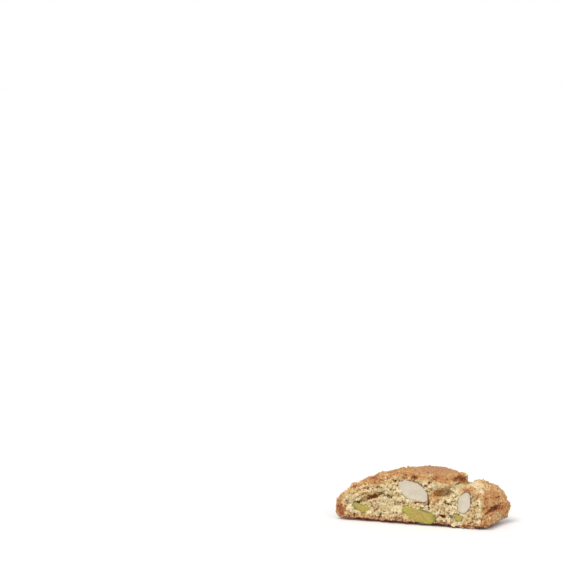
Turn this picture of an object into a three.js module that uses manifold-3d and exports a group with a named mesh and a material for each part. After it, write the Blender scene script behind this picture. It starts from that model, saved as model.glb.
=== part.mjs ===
// One slice of an almond and pistachio biscotto, twice baked, lying on its baked base.
// A log of dough rises and cracks in the oven, a knife takes a slice off it on the skew,
// and the cut runs through the nuts that it meets. The model is made in the same order.
// Millimetres, +X along the cut faces, -Y out of the front cut, +Z up from the base.
import * as THREE from "three";
import { ImprovedNoise } from "three/addons/math/ImprovedNoise.js";
import { mergeVertices } from "three/addons/utils/BufferGeometryUtils.js";
import Module from "manifold-3d";

// Driving dimensions
const THICKNESS = 18; // between the two knife cuts
const HALF = THICKNESS / 2;
const OVERRUN = 3; // of the log past each cut, before the knife takes it off
const SLAB_WIDTH = 80;
const SLAB_HEIGHT = 26;
const CLEARANCE = 0.3; // between a nut and its pocket
const CRUMB_LOSS = 0.5; // mean depth of crumb that the knife tears out between the nuts
const LEAST_LOSS = 0.05;
const EDGE_WEAR = 1.5; // how far the edge between cut and crust has crumbled back
const WEAR_REACH = 2.2; // how far in from the crust the wear begins

// Mesh steps
const LOG_AROUND = 114;
const LOG_ALONG = 15;
const SLAB_ACROSS = 60;
const SLAB_UP = 19;
const NUT_AROUND = 24;
const NUT_IN = 8; // rings from pole to pole
const OUTLINE_STEPS = 160; // points of an outline that the wear of its edge is measured from
const TEAR_RINGS = 16;
const TEAR_AROUND = 8;
const WELD = 1e-4;

// The log's outline in the plane of each cut, as [x, z], clockwise from the left of the base.
// The rear one lies further right, because the knife goes through the log on the skew.
// Points below z = 0 are pressed flat by the baking tray.
const FRONT_OUTLINE = [
  [-32.6, -0.6],
  [-36.4, 1.9],
  [-37.0, 6.9],
  [-33.0, 12.5],
  [-25.6, 17.2],
  [-16.4, 20.9],
  [-6.0, 22.6],
  [2.6, 21.8],
  [9.6, 19.9],
  [14.0, 18.3], // lip of the oven crack
  [12.4, 16.6],
  [14.6, 15.6], // floor of the oven crack
  [19.4, 17.0],
  [24.0, 15.7],
  [27.4, 11.6],
  [29.0, 6.6],
  [28.8, 2.2],
  [26.8, -0.5],
  [14.0, -0.9],
  [2.0, -0.6],
  [-9.0, -0.9],
  [-21.0, -0.6],
];
const REAR_OUTLINE = [
  [-22.8, -0.5],
  [-27.0, 2.4],
  [-27.4, 7.6],
  [-24.2, 12.4],
  [-17.4, 16.9],
  [-8.6, 20.4],
  [0.6, 22.4],
  [7.4, 22.3],
  [13.2, 20.9],
  [18.5, 19.8], // lip of the oven crack
  [17.6, 17.4],
  [19.6, 16.9], // floor of the oven crack
  [23.0, 18.9],
  [27.4, 17.4],
  [33.2, 14.5],
  [36.8, 7.4],
  [35.2, 2.4],
  [32.4, -0.5],
  [22.0, -0.6],
  [11.0, -0.9],
  [0.0, -0.6],
  [-12.0, -0.9],
];
const HEART = { x: 0, z: 8 }; // a point well inside both outlines

// Relief of the baked crust and of the torn crumb: height and wavelength of each layer
const CRUST_RELIEF = [
  { height: 1.0, wavelength: 9 },
  { height: 0.85, wavelength: 3.6 },
];
const CRUMB_RELIEF = [
  { height: 0.75, wavelength: 7.5 },
  { height: 0.65, wavelength: 3.2 },
];
const TEAR_RELIEF = [{ height: 0.35, wavelength: 2.4 }];

// Outlines of nut sections at unit length and width, as [along, across], clockwise.
const ALMOND_SECTION = [
  [-0.49, -0.08],
  [-0.48, 0.16],
  [-0.36, 0.33],
  [-0.15, 0.47],
  [0.08, 0.49],
  [0.3, 0.38],
  [0.44, 0.2],
  [0.5, -0.05],
  [0.46, -0.22],
  [0.26, -0.35],
  [0.1, -0.43],
  [-0.06, -0.5],
  [-0.22, -0.43],
  [-0.38, -0.27],
];
const PISTACHIO_SECTION = [
  [-0.52, -0.06],
  [-0.48, 0.28],
  [-0.35, 0.36],
  [-0.17, 0.33],
  [0.06, 0.44],
  [0.29, 0.57],
  [0.45, 0.48],
  [0.49, 0.13],
  [0.38, -0.31],
  [0.19, -0.5],
  [-0.04, -0.52],
  [-0.28, -0.42],
  [-0.46, -0.27],
];

// The nuts that the knife met. x and z are the middle of the section, tilt turns it in degrees
// from +X towards +Z, length and width are the section's, and reach is how far the nut goes in.
const ALMOND = { section: ALMOND_SECTION, color: 0xe3dac8 };
const PISTACHIO = { section: PISTACHIO_SECTION, color: 0xb4b04e };
const NUTS = [
  {
    name: "almond_large", ...ALMOND,
    x: -2.1, z: 14.4, length: 13.9, width: 7.4, reach: 6.5, tilt: -24,
  },
  { name: "almond_right", ...ALMOND, x: 19.8, z: 11, length: 9.1, width: 5, reach: 7, tilt: 78 },
  {
    name: "pistachio_large", ...PISTACHIO,
    x: 0.6, z: 4.4, length: 14.8, width: 5, reach: 4.6, tilt: -18,
  },
  {
    name: "pistachio_left", ...PISTACHIO,
    x: -24.8, z: 5.9, length: 6.9, width: 3, reach: 3.6, tilt: -20,
  },
  {
    name: "pistachio_chip", ...PISTACHIO,
    x: 17.1, z: 4.4, length: 3.2, width: 2.1, reach: 1.8, tilt: -35,
  },
  {
    name: "almond_rear_left", ...ALMOND, rear: true,
    x: 21.8, z: 9.6, length: 10.4, width: 6, reach: 6, tilt: 58,
  },
  {
    name: "almond_rear_middle", ...ALMOND, rear: true,
    x: -6, z: 12.4, length: 13, width: 7.2, reach: 6.4, tilt: 164,
  },
  {
    name: "pistachio_rear_left", ...PISTACHIO, rear: true,
    x: 8.6, z: 7, length: 13.4, width: 5.2, reach: 4.4, tilt: 146,
  },
  {
    name: "pistachio_rear_right", ...PISTACHIO, rear: true,
    x: -18.8, z: 6, length: 8, width: 4, reach: 3.8, tilt: -52,
  },
];

// Cracks, holes and hollows in the slice. Each one follows a path of [x, y, z] points. high is
// its size across the path upright, and deep its size across the path on the level.
const TEARS = [
  {
    what: "long crack in the left crumb",
    path: [
      [-30.8, -9.2, 6.9],
      [-26.4, -9, 8.3],
      [-21.4, -8.9, 10],
      [-17.4, -8.8, 12],
      [-13.2, -9, 11.6],
      [-6.2, -9.3, 10.4],
    ],
    high: 2.7,
    deep: 5.6,
  },
  {
    what: "gap under the large almond",
    path: [[-3.8, -9.1, 9.6], [1.8, -9, 9], [8, -9.2, 9.3]],
    high: 1.3,
    deep: 3.4,
  },
  {
    what: "print of a nut that fell out",
    path: [[6.6, -8.6, 14.2], [10.8, -8.2, 14.7], [15, -8, 15.4]],
    high: 4.6,
    deep: 8.5,
  },
  {
    what: "hole by the large pistachio",
    path: [[8.7, -8.8, 5.1], [10.5, -8.8, 4.6], [12.3, -8.8, 3.6]],
    high: 2.2,
    deep: 4.6,
  },
  {
    what: "bubble near the top",
    path: [[-3.1, -8.9, 20], [-1.5, -8.9, 20.1], [0.1, -8.9, 20]],
    high: 2,
    deep: 4,
  },
  {
    what: "small bubble near the top",
    path: [[-6.5, -9, 19.9], [-5.6, -9, 20.1], [-4.7, -9, 20]],
    high: 1.1,
    deep: 2.4,
  },
  {
    what: "dent in the left corner",
    path: [[-36.2, -11.4, 1.8], [-35.2, -11.2, 5.2], [-33.6, -11.3, 8.6]],
    high: 5.5,
    deep: 7,
  },
  {
    what: "hollow under the lip of the crust",
    path: [[13.2, -6.6, 17.6], [16.6, -0.6, 19.3], [19.4, 6.4, 19.6]],
    high: 3.4,
    deep: 5.6,
  },
  {
    what: "crack along the right end",
    path: [[26.6, -11, 6.4], [31.6, -2.4, 7.9], [35, 2.6, 9.2], [37, 7.6, 9.4]],
    high: 1.9,
    deep: 5.2,
  },
  {
    what: "arch in the base at the front",
    path: [[-29.4, -9.4, -0.3], [-24.4, -9.2, -0.2], [-18.2, -9.4, -0.3]],
    high: 1.9,
    deep: 6,
  },
  {
    what: "pit in the base",
    path: [[-8, 2.6, -0.3], [-3.4, 3.4, -0.2], [1.6, 5.4, -0.3]],
    high: 1.7,
    deep: 4.4,
  },
  {
    what: "pit in the base near the right end",
    path: [[19, -2.6, -0.3], [22.6, -3.6, -0.2], [25.4, -6.4, -0.3]],
    high: 1.6,
    deep: 3.8,
  },
  {
    what: "long crack in the rear crumb",
    path: [[0.4, 9.2, 9.6], [-3.6, 9, 7.2], [-9.6, 8.9, 7.6], [-15, 8.8, 10.4], [-20.4, 9.2, 11.6]],
    high: 1.9,
    deep: 4.2,
  },
  {
    what: "crack in the rear crumb by the end",
    path: [[24.6, 9.1, 3.6], [28.4, 8.8, 5.8], [33, 9.1, 6.4]],
    high: 1.8,
    deep: 3.8,
  },
  {
    what: "bubble in the rear crumb",
    path: [[9.8, 8.9, 15.4], [11.8, 8.9, 15.9], [13.6, 8.9, 15.2]],
    high: 2.2,
    deep: 3.8,
  },
];

const wasm = await Module();
wasm.setup();
const noise = new ImprovedNoise();

// Smooth random relief at a point, summed over its layers.
function relief(point, layers) {
  return layers.reduce(
    (sum, { height, wavelength }, layer) =>
      sum +
      height *
        noise.noise(
          point.x / wavelength + 7.3 * layer,
          point.y / wavelength + 3.1,
          point.z / wavelength + 5.7,
        ),
    0,
  );
}

// A geometry whose shared points are merged, so that it is one closed surface.
function weld(geometry) {
  geometry.deleteAttribute("normal");
  geometry.deleteAttribute("uv");
  return mergeVertices(geometry, WELD);
}

// Moves every point of a geometry by a function that changes it in place.
function reshape(geometry, change) {
  const position = geometry.getAttribute("position");
  const point = new THREE.Vector3();
  for (let i = 0; i < position.count; i++) {
    change(point.fromBufferAttribute(position, i), i);
    position.setXYZ(i, point.x, point.y, point.z);
  }
  position.needsUpdate = true;
  return geometry;
}

// Moves a welded surface out along its normals, by a distance that a function of the point gives.
function displace(geometry, distance) {
  geometry.computeVertexNormals();
  const normal = geometry.getAttribute("normal").clone();
  const outward = new THREE.Vector3();
  reshape(geometry, (point, i) => {
    outward.fromBufferAttribute(normal, i);
    point.addScaledVector(outward, distance(point));
  });
  geometry.deleteAttribute("normal");
  return geometry;
}

// How far round a circle seen along +Y a point is, clockwise from +Z, from 0 to 1.
function turnOf(point) {
  return (Math.atan2(point.x, point.z) / (2 * Math.PI) + 1) % 1;
}

// A welded geometry as a solid that can be joined and cut.
function toSolid(geometry) {
  return new wasm.Manifold(
    new wasm.Mesh({
      numProp: 3,
      vertProperties: new Float32Array(geometry.getAttribute("position").array),
      triVerts: new Uint32Array(geometry.index.array),
    }),
  );
}

function toGeometry(solid) {
  const mesh = solid.getMesh();
  return new THREE.BufferGeometry()
    .setAttribute("position", new THREE.BufferAttribute(mesh.vertProperties, 3))
    .setIndex(new THREE.BufferAttribute(mesh.triVerts, 1));
}

// The largest body of a solid, without the scraps that a cut leaves loose.
function largest(solid) {
  return solid.decompose().reduce((a, b) => (a.volume() > b.volume() ? a : b));
}

function closedCurve(outline) {
  const points = outline.map(([x, z]) => new THREE.Vector3(x, 0, z));
  return new THREE.CatmullRomCurve3(points, true, "centripetal");
}

// The baked log: a tube whose outline turns from the front one into the rear one.
function makeLog() {
  const front = closedCurve(FRONT_OUTLINE);
  const rear = closedCurve(REAR_OUTLINE);
  const depth = THICKNESS + 2 * OVERRUN;
  const tube = new THREE.CylinderGeometry(1, 1, depth, LOG_AROUND, LOG_ALONG);
  const edge = new THREE.Vector3();
  const rearEdge = new THREE.Vector3();
  reshape(tube, (point) => {
    const around = turnOf(point);
    const outward = Math.min(1, Math.hypot(point.x, point.z));
    front.getPoint(around, edge);
    rear.getPoint(around, rearEdge);
    edge.lerp(rearEdge, (point.y + HALF) / THICKNESS);
    point.x = THREE.MathUtils.lerp(HEART.x, edge.x, outward);
    point.z = THREE.MathUtils.lerp(HEART.z, edge.z, outward);
  });
  return toSolid(displace(weld(tube), (point) => relief(point, CRUST_RELIEF)));
}

// How much of a cut's edge has crumbled away at a point, as near as that is to the outline.
function edgeWear(point, rim) {
  const nearest = Math.min(...rim.map((p) => Math.hypot(p.x - point.x, p.z - point.z)));
  return EDGE_WEAR * Math.max(0, 1 - nearest / WEAR_REACH) ** 2;
}

// What lies between the two knife cuts, above the baking tray, with the crumb torn unevenly.
function makeSlab() {
  const box = new THREE.BoxGeometry(SLAB_WIDTH, THICKNESS, SLAB_HEIGHT, SLAB_ACROSS, 1, SLAB_UP);
  box.translate(0, 0, SLAB_HEIGHT / 2);
  const frontRim = closedCurve(FRONT_OUTLINE).getPoints(OUTLINE_STEPS);
  const rearRim = closedCurve(REAR_OUTLINE).getPoints(OUTLINE_STEPS);
  reshape(box, (point) => {
    const inward = -Math.sign(point.y);
    const torn = CRUMB_LOSS + relief(point, CRUMB_RELIEF);
    const worn = edgeWear(point, inward > 0 ? frontRim : rearRim);
    point.y += inward * (Math.max(LEAST_LOSS, torn) + worn);
  });
  return toSolid(weld(box));
}

// A tear: a ball drawn out along its path, so that it thins towards both ends.
function makeTear({ path, high, deep }) {
  const curve = new THREE.CatmullRomCurve3(path.map((point) => new THREE.Vector3(...point)));
  const tear = weld(new THREE.SphereGeometry(1, TEAR_AROUND, TEAR_RINGS));
  tear.rotateZ(-Math.PI / 2); // poles along X
  const across = new THREE.Vector3();
  const upright = new THREE.Vector3();
  const onPath = new THREE.Vector3();
  reshape(tear, (point) => {
    const along = (point.x + 1) / 2;
    const heading = curve.getTangent(along);
    across.set(-heading.y, heading.x, 0).normalize();
    upright.crossVectors(heading, across);
    curve.getPoint(along, onPath);
    const { y, z } = point;
    point.copy(onPath).addScaledVector(across, (y * deep) / 2).addScaledVector(upright, (z * high) / 2);
  });
  return toSolid(displace(tear, (point) => relief(point, TEAR_RELIEF)));
}

// A nut: its section in the plane of its cut, and a dome of kernel on each side of the plane.
function makeKernel(nut, clearance) {
  const section = closedCurve(nut.section);
  const kernel = weld(new THREE.SphereGeometry(1, NUT_AROUND, NUT_IN));
  const edge = new THREE.Vector3();
  reshape(kernel, (point) => {
    const outward = Math.hypot(point.x, point.z);
    section.getPoint(turnOf(point), edge);
    point.set(edge.x * outward * nut.length, point.y * nut.reach, edge.z * outward * nut.width);
  });
  displace(kernel, () => clearance);
  kernel.rotateY(-THREE.MathUtils.degToRad(nut.tilt));
  kernel.translate(nut.x, nut.rear ? HALF : -HALF, nut.z);
  return toSolid(kernel);
}

// The two knife planes alone, which leave a nut with a clean face.
function makeKnifeGap() {
  const box = new THREE.BoxGeometry(SLAB_WIDTH, THICKNESS, SLAB_HEIGHT * 2);
  return toSolid(weld(box));
}

function addMesh(group, name, solid, material) {
  const mesh = new THREE.Mesh(toGeometry(solid), material);
  mesh.name = name;
  group.add(mesh);
}

const biscotto = new THREE.Group();
const knifeGap = makeKnifeGap();
const log = makeLog();
const pockets = NUTS.map((nut) => makeKernel(nut, CLEARANCE));
const tears = TEARS.map(makeTear);
const nutBodies = NUTS.map((nut) => makeKernel(nut, 0).intersect(knifeGap));
const clearOfNuts = tears.concat(pockets);
const crumb = clearOfNuts.reduce((rest, cut) => rest.subtract(cut), log.intersect(makeSlab()));

const baked = new THREE.MeshStandardMaterial({ color: 0xc98a4e, roughness: 0.85, metalness: 0 });
addMesh(biscotto, "biscuit", largest(crumb), baked);
NUTS.forEach((nut, i) => {
  const flesh = new THREE.MeshStandardMaterial({ color: nut.color, roughness: 0.55, metalness: 0 });
  addMesh(biscotto, nut.name, largest(nutBodies[i]), flesh);
});

// The origin is under the middle of the slice, on its base.
const bounds = new THREE.Box3().setFromObject(biscotto);
const middle = bounds.getCenter(new THREE.Vector3());
biscotto.position.set(-middle.x, -middle.y, -bounds.min.z);

export default biscotto;
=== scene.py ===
"""An almond and pistachio biscotto: one slice of a twice-baked log, on a pale floor.

The frame's solids give every size and place. The script dresses them: torn crumb with grains and
pores, browned crust, nut sections with their skins, and loose crumbs that cling to the slice.
"""

import math

import bmesh
import bpy
import numpy as np
from bpy.props import FloatProperty, FloatVectorProperty, IntProperty, PointerProperty
from mathutils import Matrix, Vector, kdtree, noise


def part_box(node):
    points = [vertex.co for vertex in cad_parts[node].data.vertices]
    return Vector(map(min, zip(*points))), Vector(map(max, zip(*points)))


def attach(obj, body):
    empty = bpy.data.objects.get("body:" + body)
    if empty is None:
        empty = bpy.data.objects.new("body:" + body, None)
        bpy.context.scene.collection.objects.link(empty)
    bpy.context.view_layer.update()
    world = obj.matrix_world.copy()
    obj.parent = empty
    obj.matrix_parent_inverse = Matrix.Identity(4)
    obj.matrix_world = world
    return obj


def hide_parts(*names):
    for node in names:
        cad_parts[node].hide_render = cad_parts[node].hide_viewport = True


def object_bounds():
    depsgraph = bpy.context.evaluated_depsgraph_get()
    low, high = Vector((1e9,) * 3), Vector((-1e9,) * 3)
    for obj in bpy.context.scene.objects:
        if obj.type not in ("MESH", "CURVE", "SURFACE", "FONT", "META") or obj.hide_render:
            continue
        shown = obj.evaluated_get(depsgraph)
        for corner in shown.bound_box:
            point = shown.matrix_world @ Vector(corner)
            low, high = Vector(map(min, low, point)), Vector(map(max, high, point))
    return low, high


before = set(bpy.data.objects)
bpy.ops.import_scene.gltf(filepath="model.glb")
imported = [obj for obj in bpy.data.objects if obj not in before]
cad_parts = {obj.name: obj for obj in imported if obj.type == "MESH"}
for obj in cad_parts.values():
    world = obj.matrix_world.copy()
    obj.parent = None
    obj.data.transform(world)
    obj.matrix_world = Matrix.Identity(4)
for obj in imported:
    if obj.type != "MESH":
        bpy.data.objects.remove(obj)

bl_info = {
    "name": "Biscotto",
    "version": (1, 0, 0),
    "blender": (4, 5, 0),
    "location": "3D View > Sidebar > Biscotto",
    "description": "Dresses a slice of almond and pistachio biscotto and sets its stage",
    "category": "Add Mesh",
}

MM = 0.001
IMAGE_SIDE = 562  # pixels of the square photograph
CAD_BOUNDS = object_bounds()

# Sizes and places below are in millimetres: +X along the cut faces, -Y to the front, +Z up.
HALF_THICKNESS = max(abs(CAD_BOUNDS[0].y), abs(CAD_BOUNDS[1].y)) / MM
SKEW = 0.47  # how far the knife's skew carries the log in X for each millimetre of Y
HEART = (0.0, 8.0)  # x and z well inside the section
FOOT = (-28.0, 30.0)  # ends of the flat base, carried back along the skew
CURL_REACH = (0.8, 3.6)  # from a cut to the curled rim of the base, and to where it lies flat

# What the grains copy from the dough, for the finish that they share.
ZONES = ("depth", "layer", "toast", "rosy", "pale", "sole")

# Each seed reads the noise at a place of its own. noise_vector needs a seed of Blender's too, or it
# differs from run to run.
NOISE_SEED = 3
NOISE_SHIFT = Vector((17.3, 5.9, 9.1))
CELL_SHIFT = Vector((7.7, 21.3, 3.9))
WARP_SHIFT = Vector((3.1, 12.7, 8.3))

# How strongly each region is darkened, by the oven's browning and, in cracks, gaps, holes and hollows,
# by painted shade: middle, reach in X, Y and Z, and strength.
TOASTED_AND_SHADED = (
    ((-33.6, -8.6, 4.2), (2.1, 3.2, 2.6), 1.5),  # smooth brown left corner
    ((-31.4, -8.6, 6.0), (1.4, 2.0, 0.7), 0.9),
    ((-30.0, -8.6, 2.0), (2.6, 3.0, 2.0), 0.55),
    ((-27.0, -8.6, 0.7), (7.5, 3.0, 1.5), 0.75),  # dark foot of the left half
    ((-2.0, -7.8, 19.8), (1.9, 2.4, 1.3), 1.1),  # bubble near the top
    ((-6.4, -8.4, 19.9), (1.1, 2.0, 0.9), 0.9),
    ((7.7, -6.4, 20.5), (1.7, 2.2, 0.9), 0.9),  # orange spots of the brow
    ((12.0, -6.0, 19.3), (3.2, 2.8, 1.2), 0.62),
    ((15.4, 2.6, 19.0), (3.2, 5.0, 1.4), 1.4),  # hollow under the lip
    ((31.6, -0.2, 7.7), (5.5, 9.0, 1.2), 1.3),  # crack along the right end
    ((28.6, -7.4, 9.2), (1.6, 2.5, 0.8), 0.9),
    ((30.6, -1.0, 12.4), (2.2, 4.5, 2.0), 0.5),  # brown shoulder of the right end
    ((28.2, -4.3, 12.0), (1.5, 2.2, 1.4), 0.42),
    ((25.1, -7.6, 13.4), (0.7, 1.6, 1.3), 1.2),
    ((27.0, -8.4, 4.7), (1.0, 1.6, 1.3), 1.0),
    ((25.8, -8.0, 1.0), (1.5, 3.0, 1.4), 1.0),  # dark pits of the right foot
    ((19.7, -8.3, 1.4), (0.9, 2.0, 0.9), 1.0),
    ((29.0, -7.4, 1.6), (1.6, 3.0, 1.4), 0.8),
    ((-20.2, -7.2, 10.9), (3.8, 2.6, 1.5), 1.1),  # long crack
    ((-28.6, -8.5, 8.5), (2.6, 2.0, 0.9), 0.7),
    ((-12.0, -8.0, 10.9), (3.6, 2.0, 0.9), 0.7),
    ((-25.6, -8.6, 12.8), (2.6, 1.6, 0.7), 0.6),  # orange streak above it
    ((-19.0, -7.6, 19.0), (5.0, 3.5, 1.6), 0.72),  # orange patches of the shoulder
    ((-27.6, -8.0, 14.4), (2.0, 2.4, 1.0), 0.4),
    ((-10.8, -4.8, 21.7), (3.6, 4.0, 1.2), 0.45),
    ((1.4, -8.0, 9.9), (4.6, 2.0, 0.5), 1.3),  # gap under the large almond
    ((5.2, -8.6, 10.6), (1.1, 1.6, 1.3), 0.9),
    ((10.6, -7.6, 4.8), (1.8, 2.4, 1.2), 1.3),  # hole by the large pistachio
    ((1.8, -8.4, 7.7), (3.4, 1.8, 0.55), 0.75),  # gap over the large pistachio
    ((6.6, -8.4, 13.3), (1.5, 1.6, 0.6), 0.65),
    ((20.4, -8.4, 16.3), (2.6, 2.0, 0.7), 0.95),  # flap over the upright almond
    ((-28.0, 4.0, 9.0), (6.0, 6.0, 6.0), 0.3),
    ((6.0, 9.0, 20.0), (9.0, 3.5, 2.6), 0.3),
    ((-12.0, 8.0, 8.4), (7.0, 2.4, 1.2), 0.7),  # crack of the rear cut
    ((12.0, 8.0, 15.6), (2.2, 2.4, 1.6), 0.9),  # bubble of the rear cut
    ((30.0, 8.4, 2.0), (3.0, 3.0, 2.0), 0.8),
)
# Where the surface is smooth, in the same form.
SMOOTH = (
    ((-34.8, -8.2, 4.6), (2.4, 2.6, 4.2), 1.0),  # toasted left corner
    ((10.4, -6.2, 14.0), (3.8, 3.4, 2.2), 1.0),  # print of the nut that fell out
    ((4.0, 3.5, 22.4), (10.0, 6.5, 2.6), 0.95),  # band along the top
    ((23.0, 0.0, 17.2), (5.0, 7.0, 2.2), 0.5),  # top of the small lobe
    ((15.4, -3.6, 16.0), (3.0, 5.0, 2.0), 0.7),  # slope of the oven crack
    ((-14.0, -8.6, 6.8), (8.0, 2.6, 2.6), 0.85),  # crumb below the long crack
)
# Where the crust stayed pale. At the foot of the right end the paler colour is partly painted light,
# lifting the shade there.
PALE = (
    ((23.6, -1.2, 17.0), (5.6, 6.5, 2.6), 0.95),  # top of the small lobe
    ((25.9, -2.8, 15.4), (2.8, 3.4, 1.1), 1.2),  # cream streak on its shoulder
    ((-14.1, -8.7, 18.5), (2.2, 1.6, 0.8), 0.7),
    ((-26.8, -7.6, 16.2), (2.4, 2.0, 0.8), 0.6),
    ((31.0, -2.0, 4.0), (3.5, 6.0, 2.4), 0.35),  # foot of the right end
    ((15.4, -3.6, 16.0), (3.4, 6.5, 2.4), 1.0),  # slope of the oven crack
    ((7.0, -8.8, 18.0), (5.0, 2.0, 1.2), 0.7),  # crumb under the brow
    ((15.8, 6.6, 20.2), (2.8, 4.0, 0.8), 0.8),  # rim of the lip
    ((-27.0, -8.0, 13.6), (6.0, 2.4, 2.2), 0.5),
    ((-15.0, -8.5, 6.4), (9.0, 2.5, 2.8), 0.6),
    ((-24.0, -8.6, 10.8), (6.5, 2.0, 0.9), 0.7),  # flap above the long crack
    ((15.6, -8.6, 2.2), (3.2, 2.4, 1.2), 1.0),  # bare crumb at the foot
    ((8.0, -8.9, 6.0), (0.7, 1.0, 0.6), 1.0),
)
# Where the crust browned to a pinkish brown.
PINKISH = (
    ((3.0, 2.5, 22.4), (9.5, 7.0, 2.2), 0.85),  # smooth band along the top
    ((31.5, 1.0, 3.0), (5.0, 9.0, 3.2), 0.2),  # foot of the right end
    ((-10.0, -8.6, 0.8), (14.0, 3.0, 1.7), 0.7),
    ((-36.4, -8.0, 6.0), (1.2, 4.0, 5.0), 0.6),  # rim of the left end
    ((-24.0, 6.0, 16.0), (7.0, 6.0, 5.0), 0.4),
)
# Where the crust rolls in over the edge of the cut, and where torn crumb runs out to the edge.
ROLLED_IN = (
    ((-19.0, -8.4, 18.0), (10.0, 3.5, 4.5), 1.0),  # left shoulder
    ((-3.0, -8.4, 21.6), (7.0, 3.0, 1.6), 0.6),
    ((9.6, -6.4, 19.6), (5.0, 4.0, 1.8), 0.8),  # brow
    ((-34.6, -8.4, 5.0), (3.0, 3.0, 5.0), 0.7),  # left corner
    ((10.0, 8.4, 20.0), (9.0, 3.5, 3.5), 0.8),
)
ROLL_WIDTH = 2.8  # mm that the crust rolls in at a strength of 1
TORN_OUT = (
    ((15.4, -3.6, 16.0), (3.2, 6.5, 2.0), 1.0),  # slope of the oven crack
    ((24.6, -8.8, 9.4), (2.4, 2.2, 5.5), 0.9),  # crumb right of the upright almond
    ((8.0, -8.8, 18.0), (5.0, 1.8, 1.0), 0.7),  # crumb under the brow
    ((15.6, -8.6, 2.0), (3.4, 2.2, 1.6), 1.0),
    ((-16.0, 8.6, 5.0), (5.0, 2.2, 3.0), 0.8),
)
TORN_WIDTH = 4.0  # mm of crust that is torn off at a strength of 1
# Where the rim of the base rests on the floor and doesn't curl up.
RESTING = (
    ((23.0, -8.4, 0.0), (8.5, 5.0, 4.0), 0.9),
    ((-33.0, -8.4, 0.0), (5.0, 5.0, 4.0), 0.75),
)
# Bits that show in the front cut: kind, place and size.
SEEN_BITS = (
    ("skin_flakes", (14.4, -9.0, 5.6), 2.7),
    ("skin_flakes", (13.3, -8.9, 6.5), 1.6),
    ("almond_bits", (7.8, -9.0, 6.0), 1.0),
    ("almond_bits", (13.2, -8.8, 5.0), 1.2),
    ("almond_bits", (16.2, -8.8, 2.2), 1.3),
    ("pistachio_bits", (18.4, -8.9, 5.2), 1.3),
)


def colour(name, description, default):
    return FloatVectorProperty(
        name=name, description=description, default=default, subtype="COLOR", min=0, max=1, size=3
    )


def millimetres(name, description, default, low=0.0, high=100.0):
    return FloatProperty(
        name=name, description=description, default=default, min=low, max=high, unit="NONE"
    )


def whole_number(name, description, default):
    return IntProperty(name=name, description=description, default=default, min=0)


def brightness(name, description, default):
    return FloatProperty(name=name, description=description, default=default, min=0, max=20)


class BiscuitSettings(bpy.types.PropertyGroup):
    """Sizes in millimetres and colours of the baked dough."""

    voxel: millimetres("Mesh step", "Step of the dough's mesh, mm", 0.25, 0.1, 2)
    crumb_relief: millimetres("Crumb relief", "Height of the torn crumb's waves, mm", 0.55, 0, 2)
    crust_relief: millimetres("Crust relief", "Height of the crust's bumps, mm", 0.6, 0, 2)
    layer_height: millimetres("Layer height", "Height of the crumb's long waves, mm", 0.5, 0, 2)
    pore_depth: millimetres("Pore depth", "Depth of the crumb's holes, mm", 0.9, 0, 3)
    foot_curl: millimetres("Foot curl", "How far the rim of the base lifts off the floor, mm", 1.4, 0, 2)
    crumb_lump: millimetres("Crumb lump", "Mean size of a lump of crumb, mm", 0.86, 0.3, 3)
    crust_lump: millimetres("Crust lump", "Mean size of a lump of crust, mm", 1.0, 0.3, 3)
    crumb_lumps: whole_number("Crumb lumps", "Lumps on the cuts", 3200)
    crust_lumps: whole_number("Crust lumps", "Lumps on the crust", 1500)
    triangles: whole_number("Triangles", "Most of the dough's mesh", 192000)
    seed: whole_number("Seed", "Seed of the random draw", 5)
    crumb: colour("Crumb", "Dry pale inside of the slice", (0.54, 0.415, 0.205))
    # Crumb peaks: paler crumb, and a painted highlight on the tips of the grains.
    crumb_pale_and_highlight: colour("Crumb peaks", "Tips of the crumb's grains", (0.80, 0.68, 0.44))
    # Crumb pits and deepest pores: painted shade in the crumb's hollows, also used for darker tone at
    # random.
    crumb_pit_shade: colour("Crumb pits", "Pits and pores of the crumb", (0.43, 0.25, 0.075))
    pore_shade: colour("Pores", "Deepest pores of the crumb", (0.24, 0.09, 0.027))
    golden: colour("Golden", "Crumb next to the crust", (0.585, 0.36, 0.135))
    crust: colour("Crust", "Browned crust", (0.49, 0.23, 0.078))
    ember: colour("Orange brown", "Hottest places of the crust", (0.37, 0.13, 0.038))
    # Deep brown: toasted crust, and painted shade in the crust's hollows.
    deep_brown_and_shade: colour("Deep brown", "Toasted hollows", (0.19, 0.046, 0.013))
    rosy: colour("Rosy brown", "Pinkish brown of the smoother crust", (0.41, 0.205, 0.12))
    # Crumb and crust grit: pale specks, partly painted glints.
    crumb_grit_and_glint: colour("Crumb grit", "Bright specks of the crumb", (0.90, 0.79, 0.58))
    crust_grit_and_glint: colour("Crust grit", "Bright specks of the crust", (0.76, 0.52, 0.26))


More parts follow.
